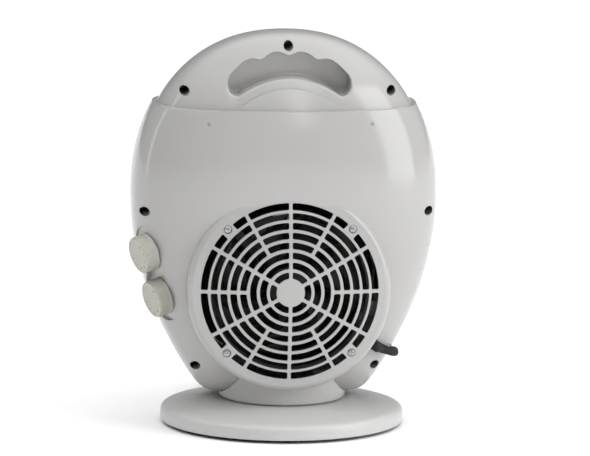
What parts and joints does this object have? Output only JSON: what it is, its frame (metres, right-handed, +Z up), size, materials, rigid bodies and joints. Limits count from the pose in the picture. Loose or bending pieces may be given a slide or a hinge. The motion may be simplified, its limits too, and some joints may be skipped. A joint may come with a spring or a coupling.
{
  "type": "fan convector heater",
  "caption": "White oval fan heater on a round swivelling foot, with a ring-slotted rear air inlet, finger pocket, side control knobs and mains lead.",
  "frame": {"origin": "underside of the foot's rubber pads, on the swivel axis", "axes": "+Z up along the swivel axis; -Y the way the warm air leaves; +X towards the knobs"},
  "size_m": [0.2439, 0.3007, 0.3117],
  "materials": {
    "gloss_white_plastic": "glossy moulded",
    "satin_white_plastic": "satin moulded",
    "warm_white_plastic": "semi-gloss",
    "black_plastic": "matt",
    "heatproof_plastic": "matt",
    "zinc_plated_steel": "zinc plated",
    "dark_ceramic": "matt",
    "black_rubber": "matt"
  },
  "bodies": {
    "base": {"base_cover": "satin_white_plastic", "base_plate": "black_plastic", "swivel_washer": "zinc_plated_steel", "pivot_screw": "zinc_plated_steel", "crank_track": "heatproof_plastic", "tip_switch": "black_plastic", "base_screw_1": "zinc_plated_steel", "base_screw_2": "zinc_plated_steel", "base_screw_3": "zinc_plated_steel", "base_screw_4": "zinc_plated_steel", "rubber_foot_1": "black_rubber", "rubber_foot_2": "black_rubber", "rubber_foot_3": "black_rubber", "rubber_foot_4": "black_rubber", "cord_coil": "black_rubber", "cord_tail": "black_rubber", "mains_plug": "black_rubber"},
    "head": {"rear_shell": "gloss_white_plastic", "front_shell": "gloss_white_plastic", "outlet_grille": "gloss_white_plastic", "swivel_collar": "gloss_white_plastic", "fan_shroud": "black_plastic", "thermostat_body": "black_plastic", "selector_body": "black_plastic", "heater_frame": "heatproof_plastic", "terminal_block": "heatproof_plastic", "heater_element": "dark_ceramic", "case_screw_1": "zinc_plated_steel", "case_screw_2": "zinc_plated_steel", "case_screw_3": "zinc_plated_steel", "case_screw_4": "zinc_plated_steel", "case_screw_5": "zinc_plated_steel", "case_screw_6": "zinc_plated_steel", "case_screw_7": "zinc_plated_steel", "grille_screw_1": "zinc_plated_steel", "grille_screw_2": "zinc_plated_steel", "grille_screw_3": "zinc_plated_steel", "grille_screw_4": "zinc_plated_steel", "motor_bracket": "zinc_plated_steel", "fan_motor": "zinc_plated_steel", "thermal_cutout": "zinc_plated_steel", "cord_clamp": "zinc_plated_steel", "oscillation_motor": "zinc_plated_steel", "cord_bush": "black_rubber", "cord_lead": "black_rubber"},
    "impeller_set": {"impeller": "black_plastic", "motor_shaft": "zinc_plated_steel"},
    "thermostat_dial": {"thermostat_knob": "warm_white_plastic", "thermostat_spindle": "zinc_plated_steel"},
    "selector_dial": {"selector_knob": "warm_white_plastic", "selector_spindle": "zinc_plated_steel"},
    "crank": {"crank_arm": "heatproof_plastic"},
    "plunger": {"tip_plunger": "heatproof_plastic"}
  },
  "joints": [
    {"name": "oscillation", "type": "hinge", "parent": "base", "child": "head", "pos_m": [0, 0, 0.0216], "axis": [0, 0, 1], "range_deg": [-27.5, 27.5], "deforming": ["cord_lead"]},
    {"name": "crank_turn", "type": "hinge", "parent": "head", "child": "crank", "pos_m": [0, -0.024, 0.0216], "axis": [0, 0, 1], "range_deg": [-80, 80]},
    {"name": "impeller_spin", "type": "hinge", "parent": "head", "child": "impeller_set", "pos_m": [0, 0.03, 0.115], "axis": [0, 1, 0], "continuous": true},
    {"name": "thermostat_turn", "type": "hinge", "parent": "head", "child": "thermostat_dial", "pos_m": [0.10627, 0.02548, 0.14121], "axis": [0.8848, 0.3799, -0.2699], "range_deg": [-270, 0]},
    {"name": "selector_turn", "type": "hinge", "parent": "head", "child": "selector_dial", "pos_m": [0.09557, 0.02548, 0.10621], "axis": [0.8848, 0.3799, -0.2699], "range_deg": [-135, 0]},
    {"name": "tip_plunger_slide", "type": "slide", "parent": "base", "child": "plunger", "axis": [0, 0, -1], "range_m": [0, 0.004], "stiffness_N_per_m": 40, "springref_m": 0.006}
  ],
  "couplings": [
    {"joint": "crank_turn", "follows": "oscillation", "ratio": -2.9}
  ]
}
